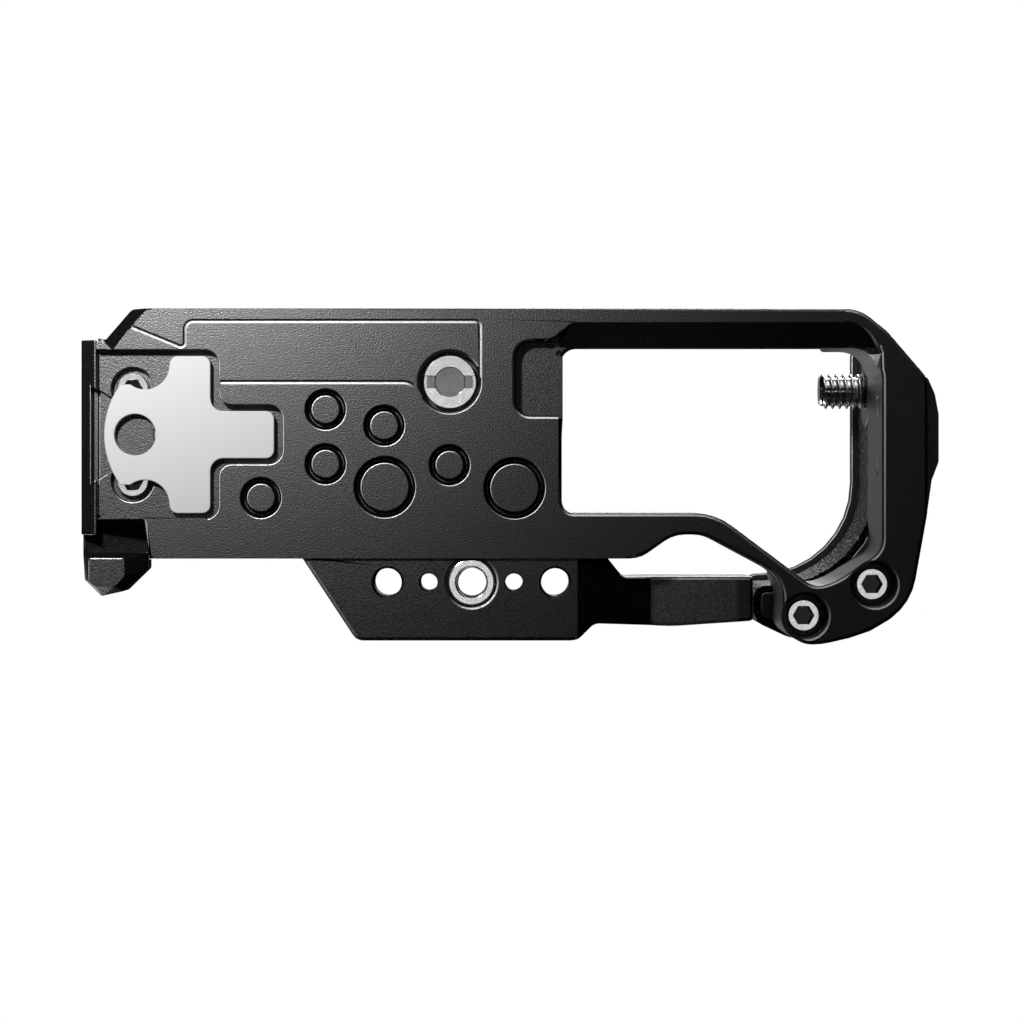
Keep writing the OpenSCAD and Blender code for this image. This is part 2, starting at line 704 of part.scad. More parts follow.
module camera_screw() {
    color("#d4d6d8")
    difference() {
        union() {
            post(cam_at, cam_head_d, cam_head_z, cam_floor_z);
            post(cam_at, quarter_d, cam_head_z, deck_t + cam_thread_h);
        }
        // coin slot and the round socket in its middle
        translate([cam_at[0] - cam_head_d, cam_at[1] - coin_slot_w / 2, cam_head_z - over])
            cube([2 * cam_head_d, coin_slot_w, over + coin_slot_z]);
        post(cam_at, hex_recess_d, cam_head_z - over, cam_head_z + hex_recess_z);
        // groove of the retaining ring
        difference() {
            post(cam_at, quarter_d + over, clip_z, clip_z + ring_clip_t);
            post(cam_at, quarter_d - 2 * clip_groove, clip_z - over, clip_z + over);
        }
    }
}

module camera_screw_ring() {
    color("#8d9094")
    difference() {
        post(cam_at, ring_clip_d, clip_z + shank_gap / 2, clip_z + ring_clip_t - shank_gap / 2);
        post(cam_at, quarter_d - 2 * clip_groove + 2 * shank_gap, clip_z - over, clip_z + over);
    }
}

module side_lock_knob() {
    color("#3a3a3e")
    difference() {
        union() {
            side_post(side_y, side_z, knob_d, knob_x, knob_end);
            side_post(side_y, side_z, hub_d, knob_end - over, half_w);
            side_post(side_y, side_z, quarter_d, boss_in - side_thread_l, boss_in - side_relief_l / 2);
            side_post(side_y, side_z, side_relief_d, boss_in - over, boss_in + over);
            side_post(side_y, side_z, side_neck_d, boss_in + side_relief_l / 2, knob_end - over);
        }
        // knurl: grooves round the grip part of the knob
        for (i = [0:knob_ribs - 1])
            translate([0, side_y, side_z]) rotate([i * 360 / knob_ribs, 0, 0]) translate([0, 0, knob_d / 2])
                side_post(0, 0, 2 * rib_r, boss_out + over / 2, knob_end + over);
        block([half_w - coin_slot_z, side_y - knob_d, side_z - coin_slot_w / 2],
              [half_w + over, side_y + knob_d, side_z + coin_slot_w / 2]);
    }
}

module side_lock_washer() {
    color("#d8d4c6")
    difference() {
        side_post(side_y, side_z, knob_d, boss_out - knob_sink, knob_x);
        side_post(side_y, side_z, quarter_d + seat_gap, boss_out - knob_sink - over, knob_x + over);
    }
}

module flat_key() {
    color("#dcdcdc")
    translate([key_at[0], key_at[1], 0])
    difference() {
        union() {
            slab(blade_corners(), key_z, key_z + key_t);
            intersection() {
                post([0, 0], 2 * key_head_r, key_z, key_z + key_t);
                block([-key_head_r, -nose_at[1], key_z], [0, nose_at[1], key_z + key_t]);
            }
            intersection() {
                post([0, 0], 2 * key_head_r, key_z, key_z + key_t);
                block([-nose_at[0], -scallop_at[1], key_z], [0, scallop_at[1], key_z + key_t]);
            }
        }
        for (s = [-1, 1]) post([-scallop_at[0], s * scallop_at[1]], 2 * scallop_r, 0, recess_z + over);
        post([-key_hole_dx, 0], key_hole_d, 0, recess_z + over);
    }
}

function blade_corners() =
    let (a = key_blade_w / 2, e = key_len / 2, t = key_tip_w / 2, r = key_reach,
         c = key_corner_r, k = key_inner_r)
    [[-a, -e, c], [a, -e, c], [a, -t, k], [r, -t, c], [r, t, c], [a, t, k], [a, e, c], [-a, e, c]];

module key_magnets() {
    color("#b9bcc0")
    for (dx = magnet_dx) post(key_at + [dx, 0], magnet_d, recess_z, recess_z + magnet_t);
}

module tripod_insert() {
    color("#c4c6c9")
    difference() {
        post(insert_at, insert_d, tab_z, deck_t);
        post(insert_at, quarter_tap_d, 0, deck_t + over);
    }
}

module side_plate() {
    color("#141416")
    difference() {
        intersection() {
            slab(corners(boss_shares), side_plate_z0, side_plate_z1);
            block([wall_out, -cage_d, 0], [half_w, cage_d, wall_h]);
        }
        side_post(side_plate_y, side_plate_thread_z, quarter_tap_d, wall_out - over, half_w);
        side_screws(shank_gap, wall_in - over, wall_out + side_plate_screw_bite + seat_gap);
    }
}

module side_plate_screws() {
    color("#6a6c70") side_screws(0, wall_in, wall_out + side_plate_screw_bite);
}

module top_plate() {
    color("#1c1c1e")
    difference() {
        slab(corners(top_shares), top_z, top_z + top_t);
        for (s = [-1, 1]) {
            post(top_screw_at(s), m3_d + 2 * shank_gap, top_z - over, top_z + top_t + over);
            post(top_screw_at(s), m3_sink_d - over, top_z + top_t - m3_head_h, top_z + top_t + over);
        }
        for (s = top_thread_shares) post(at(s), quarter_tap_d, top_z - over, top_z + top_t + over);
        for (p = shoe_screws) post(p, cap_screw_d + seat_gap, top_z - over, shoe_z + over);
        for (s = [-1, 1]) post(slot_at + [0, s * slot_run], slot_w, top_z - over, shoe_z + over);
        block([slot_at[0] - slot_w / 2, slot_at[1] - slot_run, top_z - over],
              [slot_at[0] + slot_w / 2, slot_at[1] + slot_run, shoe_z + over]);
    }
}

module top_screws() {
    color("#c9ccd0")
    for (s = [-1, 1])
        translate([top_screw_at(s)[0], top_screw_at(s)[1], top_z + top_t]) mirror([0, 0, 1])
            socket_screw(2 * top_t - m3_head_h, m3_head_h);
}

module cold_shoe() {
    w = shoe_out_w / 2;
    top = shoe_floor + shoe_h + shoe_lip_t;
    color("#18181a")
    translate([shoe_at[0], shoe_at[1], 0])
    difference() {
        block([-w, -shoe_l / 2, shoe_z], [w, shoe_l / 2, top]);
        block([-shoe_w / 2, -shoe_l, shoe_floor],
              [shoe_w / 2, shoe_l / 2 - shoe_wall, shoe_floor + shoe_h]);
        block([-shoe_gap / 2, -shoe_l, shoe_floor], [shoe_gap / 2, shoe_l, top + over]);
        for (s = [-1, 1]) {
            post([0, s * shoe_screw_dy], cap_screw_d + seat_gap, shoe_z - over, shoe_floor + over);
            post([0, s * shoe_screw_dy], cap_screw_head_d + 2 * shank_gap, shoe_floor - cap_screw_head_h,
                 shoe_floor + over);
        }
    }
}

module cold_shoe_screws() {
    color("#9a9da2")
    for (p = shoe_screws) small_screw(p, shoe_floor, shoe_base_t + top_t / 2);
}

module deck_pad() {
    l = deck_pad_l / 2;
    w = deck_pad_w / 2;
    color("#333336")
    difference() {
        translate([cam_at[0] - l / 2, -w / 2, 0]) slab(pad_corners(l, w), deck_t, deck_t + pad_t);
        post(cam_at, clip_room_d + 2 * pad_margin, deck_t - over, deck_t + pad_t + over);
    }
}

module top_pad() {
    l = top_pad_l / 2;
    w = top_pad_w / 2;
    color("#333336")
    difference() {
        translate([slot_at[0] - l / 2, slot_at[1], 0]) slab(pad_corners(l, w), top_z - pad_t, top_z);
        for (s = top_thread_shares) post(at(s), pad_hole_d, top_z - 2 * pad_t, top_z + over);
        block([slot_at[0] - slot_w, slot_at[1] - slot_l / 2 - pad_t, top_z - 2 * pad_t],
              [slot_at[0] + slot_w, slot_at[1] + slot_l / 2 + pad_t, top_z + over]);
    }
}

function pad_corners(l, w) = [[-l, -w, pad_r], [l, -w, pad_r], [l, w, pad_r], [-l, w, pad_r]];

base_plate();
left_upright();
upright_screws();
grip_core();
grip_sleeve();
grip_cap();
grip_cap_screws();
grip_screws();
camera_screw();
camera_screw_ring();
side_lock_knob();
side_lock_washer();
flat_key();
key_magnets();
tripod_insert();
side_plate();
side_plate_screws();
top_plate();
top_screws();
cold_shoe();
cold_shoe_screws();
deck_pad();
top_pad();
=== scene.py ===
import math

import bmesh
import bpy
from mathutils import Matrix, Vector


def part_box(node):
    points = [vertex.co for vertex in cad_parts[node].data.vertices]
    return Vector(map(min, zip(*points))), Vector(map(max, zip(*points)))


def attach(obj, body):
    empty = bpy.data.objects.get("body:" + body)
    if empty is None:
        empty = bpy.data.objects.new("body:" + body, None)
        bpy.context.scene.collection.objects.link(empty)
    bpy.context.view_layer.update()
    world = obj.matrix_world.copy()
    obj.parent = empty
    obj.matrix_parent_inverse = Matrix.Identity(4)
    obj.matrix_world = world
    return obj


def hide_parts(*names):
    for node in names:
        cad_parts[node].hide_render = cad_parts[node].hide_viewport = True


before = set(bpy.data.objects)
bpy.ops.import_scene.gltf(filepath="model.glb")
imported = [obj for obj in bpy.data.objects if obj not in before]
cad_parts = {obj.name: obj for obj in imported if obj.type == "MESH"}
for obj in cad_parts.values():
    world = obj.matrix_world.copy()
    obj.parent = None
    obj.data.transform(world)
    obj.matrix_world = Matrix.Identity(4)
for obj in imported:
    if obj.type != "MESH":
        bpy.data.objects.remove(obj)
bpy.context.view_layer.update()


# The view: square on to the deck's underside from 0.55 m, with the lens side down.
# The frame is shifted a little, because the deck stands above the middle of the picture.
view = bpy.data.cameras.new("underside_view")
view.sensor_width = 36
view.lens = 113.1
view.shift_x = 0.0024
view.shift_y = -0.0342
view_point = bpy.data.objects.new("underside_view", view)
view_point.location = (-0.00104, 0, -0.55)
view_point.rotation_euler = (math.pi, 0, 0)
bpy.context.scene.collection.objects.link(view_point)
bpy.context.scene.camera = view_point
bpy.context.scene.view_settings.view_transform = "Standard"


# The studio: a room that the camera sees as white. Metal mirrors a few lit places in it and
# finds the rest dark, so that black faces stay black.
class Signal:
    """A value in a node tree: sums on it add Math nodes, and node() adds any other node."""

    def __init__(self, tree, socket=None):
        self.tree = tree
        self.socket = socket

    def node(self, kind, settings=None, sockets=None, out=0):
        made = self.tree.nodes.new(kind)
        for name, value in (settings or {}).items():
            setattr(made, name, value)
        for name, value in (sockets or {}).items():
            if isinstance(value, Signal):
                self.tree.links.new(value.socket, made.inputs[name])
            else:
                made.inputs[name].default_value = value
        return Signal(self.tree, made.outputs[out] if made.outputs else None)

    def output(self, name):
        return Signal(self.tree, self.socket.node.outputs[name])

    def maths(self, operation, *values):
        return self.node("ShaderNodeMath", {"operation": operation}, dict(enumerate(values)))

    def __add__(self, other):
        return self.maths("ADD", self, other)

    def __radd__(self, other):
        return self.maths("ADD", other, self)

    def __sub__(self, other):
        return self.maths("SUBTRACT", self, other)

    def __rsub__(self, other):
        return self.maths("SUBTRACT", other, self)

    def __mul__(self, other):
        return self.maths("MULTIPLY", self, other)

    def __rmul__(self, other):
        return self.maths("MULTIPLY", other, self)

    def at_most(self, other):
        return self.maths("MINIMUM", self, other)

    def at_least(self, other):
        return self.maths("MAXIMUM", self, other)

    def rise(self, low, high):
        """0 below low, 1 above high, and a soft step between them."""
        return self.node(
            "ShaderNodeMapRange",
            {"interpolation_type": "SMOOTHSTEP"},
            {"Value": self, "From Min": low, "From Max": high},
        )

    def tint(self, under, over):
        """A blend of two colours, given or worked out: under where this value is 0, over where it is 1."""
        under, over = [c if isinstance(c, Signal) else (*c, 1) for c in (under, over)]
        blend = {"Factor": self, "A": under, "B": over}
        return self.node("ShaderNodeMix", {"data_type": "RGBA"}, blend, out=2)


room = bpy.data.worlds.new("pale_room")
bpy.context.scene.world = room
room.use_nodes = True
room.node_tree.nodes.clear()
bench = Signal(room.node_tree)
ray = bench.node("ShaderNodeLightPath")
seen = ray.output("Is Camera Ray")
mirrored = ray.output("Is Glossy Ray").at_least(ray.output("Is Transmission Ray"))
heading = bench.node("ShaderNodeTexCoord").output("Generated")
along = bench.node("ShaderNodeSeparateXYZ", None, {"Vector": heading})
east, south, far = along.output("X"), along.output("Y"), along.output("Z")

# The lit places, by direction: a box past the deck's back left corner, wavy cards round the
# camera, a strip behind the cage and a backdrop over it
corner_level, camera_level, strip_level, backdrop_level = 0.8, 1.3, 0.9, 0.35
wave_rate, wave_start, camera_south = 210, 0.7, 0.01
corner_box = (0 - east - south).rise(0.6, 0.9) * (1 - south.rise(-0.4, -0.2))
corner_box = corner_box * (1 - far.rise(-0.3, 0.0)) * corner_level
beside = (south - camera_south) * (south - camera_south)
across = east * east
cards = bench.maths("SINE", wave_rate * (south - east) - wave_start).rise(-0.8, 0.0)
camera_box = (1 - across.rise(0.016, 0.022)) * (1 - beside.rise(0.003, 0.005))
camera_box = camera_box * (1 - far.rise(-0.95, -0.9)) * cards * camera_level
back_strip = (1 - across.rise(0.03, 0.06)) * (0 - south).rise(0.35, 0.5)
back_strip = back_strip * (1 - far.rise(0.0, 0.3)) * strip_level
backdrop = (0 - east - 0.3 * south).rise(0.0, 0.15) * far.rise(0.8, 0.95) * backdrop_level
reflected = corner_box + camera_box + back_strip + backdrop
ambient = 0.03
level = seen + (1 - seen) * (mirrored * reflected + (1 - mirrored) * ambient)
glow = bench.node("ShaderNodeBackground", None, {"Color": (1, 1, 1, 1), "Strength": level})
bench.node("ShaderNodeOutputWorld", None, {"Surface": glow})


def hang(lamp, place, aim):
    """A lamp at its place, turned to its aim and unseen by the camera."""
    holder = bpy.data.objects.new(lamp.name, lamp)
    holder.location = place
    holder.rotation_euler = (Vector(aim) - Vector(place)).to_track_quat("-Z", "Y").to_euler()
    holder.visible_camera = False
    bpy.context.scene.collection.objects.link(holder)


cage_middle = (0, 0, 0.04)
for name, place, side, power in [
    ("top_light", (0.25, -0.55, 0.75), 0.6, 9.0),
    ("back_light", (-0.5, 0.6, 0.6), 0.5, 4.0),
]:
    softbox = bpy.data.lights.new(name, "AREA")
    softbox.shape = "RECTANGLE"
    softbox.size = softbox.size_y = side
    softbox.energy = power
    hang(softbox, place, cage_middle)

# A small lamp close to the deck's back left corner, whose cone fades out over the deck
deck_lamp = bpy.data.lights.new("deck_lamp", "SPOT")
deck_lamp.energy = 4.0
deck_lamp.spot_size = math.radians(87)
deck_lamp.spot_blend = 1.0
deck_lamp.shadow_soft_size = 0.012
hang(deck_lamp, (-0.0955, -0.102, -0.2455), (-0.1, -0.12, 0))

# The floor under the standing cage shows from above only. Nothing but the camera sees it.
floor_reach, floor_z, floor_grey = 4, -0.0005, (0.86, 0.86, 0.86, 1)
floor_mesh = bmesh.new()
bmesh.ops.create_grid(floor_mesh, x_segments=1, y_segments=1, size=floor_reach)
bmesh.ops.translate(floor_mesh, vec=(0, 0, floor_z), verts=floor_mesh.verts)
floor_data = bpy.data.meshes.new("studio_floor")
floor_mesh.to_mesh(floor_data)
floor_mesh.free()
floor = bpy.data.objects.new("studio_floor", floor_data)
bpy.context.scene.collection.objects.link(floor)
floor.visible_diffuse = floor.visible_glossy = floor.visible_transmission = floor.visible_shadow = False
paper = bpy.data.materials.new("pale_paper")
paper.use_nodes = True
paper.node_tree.nodes.clear()
bench = Signal(paper.node_tree)
from_below = bench.node("ShaderNodeNewGeometry").output("Backfacing")
matt = bench.node("ShaderNodeBsdfDiffuse", None, {"Color": floor_grey})
clear = bench.node("ShaderNodeBsdfTransparent")
either = bench.node("ShaderNodeMixShader", None, {0: from_below, 1: matt, 2: clear})
bench.node("ShaderNodeOutputMaterial", None, {"Surface": either})
floor.data.materials.append(paper)


# The deck: one block of aluminium, milled to a windowed plate with a tab for the tripod
# insert and a wall round the grip end. Every edge is broken, then it is blasted and anodised.
merge_dist, same_z = 2e-6, 1e-5


def own_mesh(node):
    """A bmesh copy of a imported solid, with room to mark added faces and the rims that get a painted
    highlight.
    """
    work = bmesh.new()
    work.from_mesh(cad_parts[node].data)
    bmesh.ops.remove_doubles(work, verts=work.verts, dist=merge_dist)
    work.faces.layers.int.new("added")
    work.faces.layers.float.new("rim")
    return work


def broken_edges(node, width, wide=None, work=None):
    """The solid with bevelled outer edges, wide ones on tall walls. rim marks facets that face the lamp."""
    square, tall, upright_z = math.radians(65), 0.0032, 0.3
    upright_bend, level_bend = math.radians(28), math.radians(12)
    least_lean, most_lean, facing_from, facing_span = 0.1, 0.45, -0.2, 0.7
    lowest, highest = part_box(node)
    work = work or own_mesh(node)
    added = work.faces.layers.int["added"]
    rim = work.faces.layers.float["rim"]
    turn_of = work.edges.layers.int.new("turn")
    for edge in work.edges:
        if edge.is_manifold and edge.is_convex and edge.calc_face_angle() > square:
            heights = [[v.co.z for v in f.verts] for f in edge.link_faces]
            rises = [max(face_z) - min(face_z) for face_z in heights]
            edge[turn_of] = 1 if wide and max(rises) > tall else 2
    for turn, offset in [(1, wide), (2, width)]:
        chosen = [
            e for e in work.edges if e[turn_of] == turn and e.is_manifold and e.calc_face_angle() > square
        ]
        if chosen:
            bevelled = bmesh.ops.bevel(
                work,
                geom=chosen,
                offset=offset,
                offset_type="OFFSET",
                segments=3,
                profile=0.5,
                affect="EDGES",
                clamp_overlap=False,
                loop_slide=False,
                material=-1,
            )
            for face in bevelled["faces"]:
                face[added] = 1
    for vertex in work.verts:
        for axis in range(3):
            vertex.co[axis] = min(max(vertex.co[axis], lowest[axis]), highest[axis])
    work.normal_update()
    for face in work.faces:
        lean = face.normal.xy.length
        if face[added] and least_lean < lean < most_lean:
            facing = (0 - face.normal.x - face.normal.y) / (lean * math.sqrt(2))
            face[rim] = min(max((facing - facing_from) / facing_span, 0), 1)
    for edge in work.edges:
        upright = all(abs(f.normal.z) < upright_z for f in edge.link_faces)
        alike = len({face[added] for face in edge.link_faces}) == 1
        edge.smooth = alike and edge.calc_face_angle(0) < (upright_bend if upright else level_bend)
    for face in work.faces:
        face.smooth = any(e.smooth and e.calc_face_angle(0) > 0.01 for e in face.edges)
    return work


def piece(name, work, finish, body, replaces=()):
    """A bmesh becomes a shaded object with its finish, rides on its body and stands for its nodes."""
    data = bpy.data.meshes.new(name)
    work.to_mesh(data)
    work.free()
    made = bpy.data.objects.new(name, data)
    bpy.context.scene.collection.objects.link(made)
    made.data.materials.append(finish)
    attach(made, body)
    if replaces:
        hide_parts(*replaces)


def dress(name, node, width, finish, body="cage"):
    """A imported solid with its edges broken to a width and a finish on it."""
    piece(name, broken_edges(node, width), finish, body, [node])


def finish_bench(name):
    """A new material, and a Signal to build its nodes from."""
    made = bpy.data.materials.new(name)
    made.use_nodes = True
    made.node_tree.nodes.clear()
    return made, Signal(made.node_tree)


def coat(bench, sockets):
    """The Principled surface of a finish, joined to its output."""
    surface = bench.node("ShaderNodeBsdfPrincipled", None, sockets)
    bench.node("ShaderNodeOutputMaterial", None, {"Surface": surface})


def blasted_black(name, tone, grain_size=0.00026, depth=0.00004, lit_patch=()):
    """Bead-blasted black anodising. Painted highlight: rim facets that face the lamp are coloured pale metal.
    The last argument gives the ranges of a pale patch of painted light.
    """
    painted_light_grey, painted_light_border, rim_highlight_grey = (0.19, 0.19, 0.19), 0.0012, (0.7, 0.7, 0.71)
    made, bench = finish_bench(name)
    place = bench.node("ShaderNodeTexCoord").output("Object")
    grain = bench.node(
        "ShaderNodeTexNoise",
        None,
        {"Vector": place, "Scale": 1 / grain_size, "Detail": 1.0, "Roughness": 0.5},
    )
    cloud = bench.node("ShaderNodeTexNoise", None, {"Vector": place, "Scale": 45.0, "Detail": 3.0})
    highlight_noise = bench.node("ShaderNodeTexNoise", None, {"Vector": place, "Scale": 1500.0, "Detail": 2.0})
    rim = bench.node("ShaderNodeAttribute", {"attribute_name": "rim"}, out="Fac")
    # Painted highlight: the rim facets that face the lamp turn to pale metal, a little uneven
    painted_rim_highlight = rim * (0.88 + 0.12 * highlight_noise.rise(0.3, 0.6))
    shade = (0.3 + 0.5 * grain + 0.35 * cloud - 0.15).at_most(1)
    black = shade.tint([0.4 * t for t in tone], [1.6 * t for t in tone])
    # Painted light: a pale grey patch over the given ranges, broken up by the grain
    if lit_patch:
        spot = bench.node("ShaderNodeSeparateXYZ", None, {"Vector": place})
        here = grain.rise(0.2, 0.8)
        for axis, low, high in lit_patch:
            along = spot.output(axis)
            here = here * along.rise(low, low + painted_light_border) * (1 - along.rise(high - painted_light_border, high))
        black = here.tint(black, painted_light_grey)
    bump = bench.node("ShaderNodeBump", None, {"Height": grain, "Distance": depth, "Strength": 1.0})
    coat(
        bench,
        {
            "Base Color": painted_rim_highlight.tint(black, rim_highlight_grey),
            "Metallic": painted_rim_highlight,
            "Roughness": 0.13 + 0.02 * cloud + 0.5 * grain + 0.12 * painted_rim_highlight,
            "Specular IOR Level": 0.8,
            "Normal": bump,
        },
    )
    return made


def floors_at(work, z):
    """The faces that lie level at a height and look down."""
    return [
        f for f in work.faces if f.normal.z < -0.99 and all(abs(v.co.z - z) < same_z for v in f.verts)
    ]


def inside(vertex, x_range, y_range):
    """Whether a vertex lies in a rectangle, seen from below."""
    return x_range[0] < vertex.co.x < x_range[1] and y_range[0] < vertex.co.y < y_range[1]


# Painted light on the bar between deck and grip: a pale grey patch over these ranges
bar_painted_light = [("X", 0.0235, 0.0392), ("Y", 0.014, 0.03), ("Z", 0.0095, 0.013)]
deck_black = blasted_black("deck_blasted_black", (0.004, 0.0041, 0.0042), lit_patch=bar_painted_light)
plate = own_mesh("base_plate")

# Each line groove has two gentle slopes down to its middle
groove_z, slope_w, slope_z = 0.0004, 0.00033, 0.00013
lines = floors_at(plate, groove_z)
slopes = bmesh.ops.inset_region(
    plate, faces=lines, thickness=slope_w, depth=0, use_even_offset=True, use_boundary=True
)["faces"]
for face in slopes:
    face[plate.faces.layers.int["added"]] = 1
middle = {v for f in lines if f.is_valid for v in f.verts}
for vertex in {v for f in slopes for v in f.verts} | middle:
    vertex.co.z = slope_z if vertex in middle else 0
bmesh.ops.remove_doubles(plate, verts=plate.verts, dist=merge_dist)
bmesh.ops.dissolve_degenerate(plate, edges=plate.edges, dist=1e-7)

# The floor of each ring groove sinks to a V, so that no light comes back from it
ring_floor_z, half_ring_w, ring_bottom_z = 0.002, 0.00042, 0.0029
rings = floors_at(plate, ring_floor_z)
bmesh.ops.inset_region(
    plate, faces=rings, thickness=half_ring_w, depth=0, use_even_offset=True, use_boundary=True
)
for vertex in {v for f in rings if f.is_valid for v in f.verts}:
    vertex.co.z = ring_bottom_z

# The sliver between the window's corner and the recess behind it slopes away into the wall
sliver_ends = [(0.06232, -0.02121, 0), (0.06244, -0.01827, 0)]
sliver_x, sliver_y, sliver_z = (0.0603, 0.0622), (-0.0213, -0.0188), 0.0033
nearest = [min(plate.verts, key=lambda v: (v.co - Vector(end)).length) for end in sliver_ends]
bmesh.ops.connect_verts(plate, verts=nearest)
for vertex in plate.verts:
    if vertex.co.z < same_z and inside(vertex, sliver_x, sliver_y):
        vertex.co.z = sliver_z
plate.normal_update()
deck_edge_w, wall_edge_w = 0.0002, 0.0006
deck_work = broken_edges("base_plate", deck_edge_w, wall_edge_w, work=plate)
piece("cage_deck", deck_work, deck_black, "cage", ["base_plate"])


# The left frame: a thin upright plate with a port opening, a tongue under the deck's two
# screws and a low front lip that ends in a foot. Same blasted black as the deck. The floor
# of the lip's pocket slopes, as the cutter leaves it.
frame_black = blasted_black("frame_blasted_black", (0.0035, 0.0036, 0.0037))
pocket_floor_z, pocket_side_z = 0.009, 0.0058
pocket_x, pocket_y = (-0.072, -0.0715), (0.007, 0.0135)
upright = own_mesh("left_upright")
for vertex in upright.verts:
    if abs(vertex.co.z - pocket_floor_z) < same_z and inside(vertex, pocket_x, pocket_y):
        vertex.co.z = pocket_side_z
upright.normal_update()
frame_work = broken_edges("left_upright", deck_edge_w, work=upright)
piece("left_frame", frame_work, frame_black, "cage", ["left_upright"])


# The top arm and its accessory shoe, milled and anodised as the deck is. The arm is held by
# two socket screws in the left frame, and the shoe by two small flush ones.
dress("top_arm", "top_plate", 0.0003, frame_black)
dress("accessory_shoe", "cold_shoe", 0.0002, frame_black)


# The side plate: a low black pad outside the grip wall round a threaded hole, milled and
# anodised as the deck is. Two small screws hold it from inside the wall.
dress("side_pad", "side_plate", 0.0002, frame_black)


# The grip: an aluminium core with a boss for the side screw, and a smooth cap on top that
# two small screws hold. Both are anodised to a finer, satin black.
grip_black = blasted_black("grip_satin_black", (0.012, 0.0122, 0.0125), grain_size=0.00018, depth=0.000005)
dress("grip_core_block", "grip_core", 0.0002, grip_black)
dress("grip_top_cap", "grip_cap", 0.0003, grip_black)


# The grip's sleeve: a black rubber moulding with a leather grain of wavy pebbles, wrapped round the core
# inside and out. Its colour has painted shade: darker in the creases between the pebbles and towards each
# pebble's edge.
leather, bench = finish_bench("moulded_leather_grain")
pebbles_per_m, waver, pebble_squash = 1000.0, (0.0012, 0.0012, 0.0012), (1, 1, 0.55)
place = bench.node("ShaderNodeTexCoord").output("Object")
drift = bench.node("ShaderNodeTexNoise", None, {"Vector": place, "Scale": 420.0, "Detail": 2.0}, out=1)
bent = bench.node("ShaderNodeVectorMath", {"operation": "MULTIPLY_ADD"}, {0: drift, 1: waver, 2: place})
longer = bench.node("ShaderNodeMapping", {"vector_type": "POINT"}, {"Vector": bent, "Scale": pebble_squash})
pebble_sockets = {"Vector": longer, "Scale": pebbles_per_m}
pebbles = bench.node("ShaderNodeTexVoronoi", {"feature": "SMOOTH_F1"}, pebble_sockets)
creases = bench.node("ShaderNodeTexVoronoi", {"feature": "DISTANCE_TO_EDGE"}, pebble_sockets)
pores = bench.node("ShaderNodeTexNoise", None, {"Vector": place, "Scale": 5200.0, "Detail": 2.0})
# This height also sets the colour, as painted shade in the creases and on the pebbles' flanks
raised = creases.rise(0.02, 0.3) * (1 - 0.6 * pebbles) + 0.15 * pores
coat(
    bench,
    {
        "Base Color": raised.tint((0.0002, 0.0002, 0.0002), (0.005, 0.005, 0.0052)),
        "Roughness": 0.5 - 0.15 * raised,
        "Specular IOR Level": 0.18,
        "Normal": bench.node("ShaderNodeBump", None, {"Height": raised, "Distance": 0.0006, "Strength": 1.0}),
    },
)
dress("grip_leather_sleeve", "grip_sleeve", 0.00025, leather)


# The socket screws: turned and polished stainless steel, with fine rings from the lathe
# round each head. Two hold the left frame, two the grip and two the top arm.
def turned_steel(name, centres, tone, roughness, metallic=0.6, axis="z", socket=None):
    """Turned steel, ringed round the nearest centre. A socket (radius, low, high, shade) gets painted shade
    inside.
    """
    border, mark_depth = 0.0003, 0.0000016
    made, bench = finish_bench(name)
    place = bench.node("ShaderNodeTexCoord").output("Object")
    keep = (1, 1, 0) if axis == "z" else (0, 1, 1)
    across = bench.node("ShaderNodeVectorMath", {"operation": "MULTIPLY"}, {0: place, 1: keep})
    reach = None
    for centre in centres:
        point = [c * k for c, k in zip(centre, keep)]
        away = bench.node("ShaderNodeVectorMath", {"operation": "DISTANCE"}, {0: across, 1: point}, out=1)
        reach = away if reach is None else reach.at_most(away)
    ring = bench.node("ShaderNodeCombineXYZ", None, {"X": reach})
    marks = bench.node("ShaderNodeTexNoise", None, {"Vector": ring, "Scale": 9000.0, "Detail": 2.0})
    smear = bench.node("ShaderNodeTexNoise", None, {"Vector": place, "Scale": 700.0, "Detail": 3.0})
    unshaded = 1.0
    # Painted shade: the colour inside a socket is darkened by the given share
    if socket:
        radius, low, high, dark = socket
        height = bench.node("ShaderNodeSeparateXYZ", None, {"Vector": place}).output("Z")
        deep = height.rise(low, low + border) * (1 - height.rise(high, high + border))
        unshaded = 1 - dark * deep * (1 - reach.rise(0.94 * radius, 1.02 * radius))
    shade = (0.2 + 0.6 * marks + 0.6 * smear).at_most(1) * unshaded
    bump = bench.node("ShaderNodeBump", None, {"Height": marks, "Distance": mark_depth, "Strength": 1.0})
    coat(
        bench,
        {
            "Base Color": shade.tint([0.01 * t for t in tone], [min(1.9 * t, 1) for t in tone]),
            "Metallic": metallic,
            "Roughness": roughness - 0.06 + 0.08 * marks + 0.08 * smear,
            "Normal": bump,
        },
    )
    return made


left_screws = [(-0.06585, -0.01515, 0), (-0.06585, 0.00065, 0)]
grip_screws = [(0.04964, 0.02385, 0), (0.06143, 0.01846, 0)]
top_screws = [(-0.07135, -0.01625, 0), (-0.07135, 0.00175, 0)]
polished, bright_tone, plain_tone = 0.95, (0.85, 0.86, 0.88), (0.62, 0.63, 0.65)
